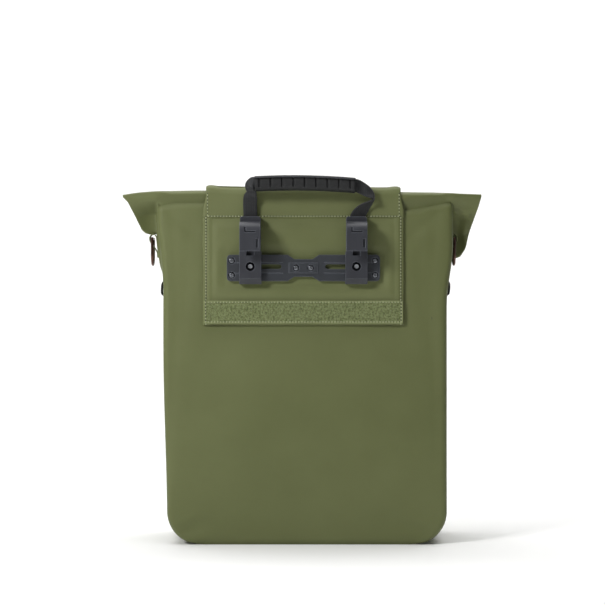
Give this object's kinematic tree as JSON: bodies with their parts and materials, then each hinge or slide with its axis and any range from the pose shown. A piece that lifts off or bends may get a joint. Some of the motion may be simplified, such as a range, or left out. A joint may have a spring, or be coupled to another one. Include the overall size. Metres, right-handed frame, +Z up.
{
  "type": "bicycle pannier bag",
  "caption": "Roll-top pannier bag of coated fabric with a back panel, a rail with two latching rack hooks, a flap and a carrying grip.",
  "frame": {"origin": "on the floor under the middle of the bag's body", "axes": "+Z up, -Y out of the back with the rack hooks, +Y out of the front, +X to the right seen from the back"},
  "size_m": [0.408, 0.1772, 0.424],
  "materials": {
    "coated_fabric": "matt coated",
    "loop_fabric": "fuzzy loop",
    "hook_fabric": "hook tape",
    "board_plastic": "matt",
    "rail_plastic": "fine moulded grain",
    "hook_plastic": "fine moulded grain",
    "latch_plastic": "satin moulded",
    "grip_rubber": "matt",
    "webbing": "woven",
    "steel": "zinc plated",
    "black_steel": "blackened",
    "plate_alloy": "plain sheet",
    "ring_metal": "dark bronze plated"
  },
  "bodies": {
    "bag": {"bag_shell": "coated_fabric", "back_board": "board_plastic", "base_board": "board_plastic", "mount_panel": "coated_fabric", "panel_board": "board_plastic", "loop_strip": "loop_fabric", "front_loop_strip": "loop_fabric", "rail": "rail_plastic", "rail_rivets": "black_steel", "backing_plate": "plate_alloy", "ring_tab_left": "coated_fabric", "ring_tab_right": "coated_fabric", "anchor_tab_left": "webbing", "anchor_tab_right": "webbing"},
    "roll": {"neck": "coated_fabric", "roll_top": "coated_fabric", "roll_batten": "board_plastic", "flap_back": "coated_fabric"},
    "flap_top": {"flap_top": "coated_fabric"},
    "flap_front": {"flap_front": "coated_fabric", "flap_tape": "hook_fabric"},
    "handle": {"grip": "grip_rubber", "handle_web": "webbing"},
    "hook_left": {"hook_body_left": "hook_plastic", "clamp_nut_left": "steel", "clamp_screw_left": "steel", "clamp_washer_left": "steel", "tube_insert_left": "latch_plastic", "latch_pin_left": "steel", "latch_spring_left": "steel"},
    "latch_left": {"latch_left": "latch_plastic"},
    "strap_left": {"strap_left": "webbing"},
    "ring_left": {"ring_left": "ring_metal"},
    "hook_right": {"hook_body_right": "hook_plastic", "clamp_nut_right": "steel", "clamp_screw_right": "steel", "clamp_washer_right": "steel", "tube_insert_right": "latch_plastic", "latch_pin_right": "steel", "latch_spring_right": "steel"},
    "latch_right": {"latch_right": "latch_plastic"},
    "strap_right": {"strap_right": "webbing"},
    "ring_right": {"ring_right": "ring_metal"}
  },
  "joints": [
    {"name": "roll_rise", "type": "slide", "parent": "bag", "child": "roll", "axis": [0, 0, 1], "range_m": [0, 0.09], "deforming": ["neck", "flap_back"]},
    {"name": "flap_lift", "type": "hinge", "parent": "roll", "child": "flap_top", "pos_m": [0, -0.0732, 0.4082], "axis": [1, 0, 0], "range_deg": [0, 85]},
    {"name": "flap_turn", "type": "hinge", "parent": "flap_top", "child": "flap_front", "pos_m": [0, -0.0436, 0.4102], "axis": [1, 0, 0], "range_deg": [0, 130]},
    {"name": "handle_pull", "type": "slide", "parent": "bag", "child": "handle", "axis": [0, 0, 1], "range_m": [0, 0.0081], "stiffness_N_per_m": 400, "springref_m": -0.004},
    {"name": "hook_left_slide", "type": "slide", "parent": "bag", "child": "hook_left", "axis": [1, 0, 0], "range_m": [-0.005, 0.03]},
    {"name": "latch_left_turn", "type": "hinge", "parent": "hook_left", "child": "latch_left", "pos_m": [-0.0605, -0.0825, 0.345], "axis": [1, 0, 0], "range_deg": [0, 85]},
    {"name": "strap_left_shift", "type": "slide", "parent": "handle", "child": "strap_left", "axis": [1, 0, 0], "range_m": [-0.005, 0.03]},
    {"name": "ring_left_swing", "type": "hinge", "parent": "bag", "child": "ring_left", "pos_m": [-0.1745, -0.045, 0.352], "axis": [0, 1, 0], "range_deg": [0, 90]},
    {"name": "hook_right_slide", "type": "slide", "parent": "bag", "child": "hook_right", "axis": [-1, 0, 0], "range_m": [-0.005, 0.03]},
    {"name": "latch_right_turn", "type": "hinge", "parent": "hook_right", "child": "latch_right", "pos_m": [0.0605, -0.0825, 0.345], "axis": [1, 0, 0], "range_deg": [0, 85]},
    {"name": "strap_right_shift", "type": "slide", "parent": "handle", "child": "strap_right", "axis": [-1, 0, 0], "range_m": [-0.005, 0.03]},
    {"name": "ring_right_swing", "type": "hinge", "parent": "bag", "child": "ring_right", "pos_m": [0.1745, -0.045, 0.352], "axis": [0, -1, 0], "range_deg": [0, 90]}
  ],
  "couplings": [
    {"joint": "latch_left_turn", "follows": "handle_pull", "rad_per_m": 183},
    {"joint": "strap_left_shift", "follows": "hook_left_slide", "ratio": 1},
    {"joint": "latch_right_turn", "follows": "handle_pull", "rad_per_m": 183},
    {"joint": "strap_right_shift", "follows": "hook_right_slide", "ratio": 1}
  ]
}
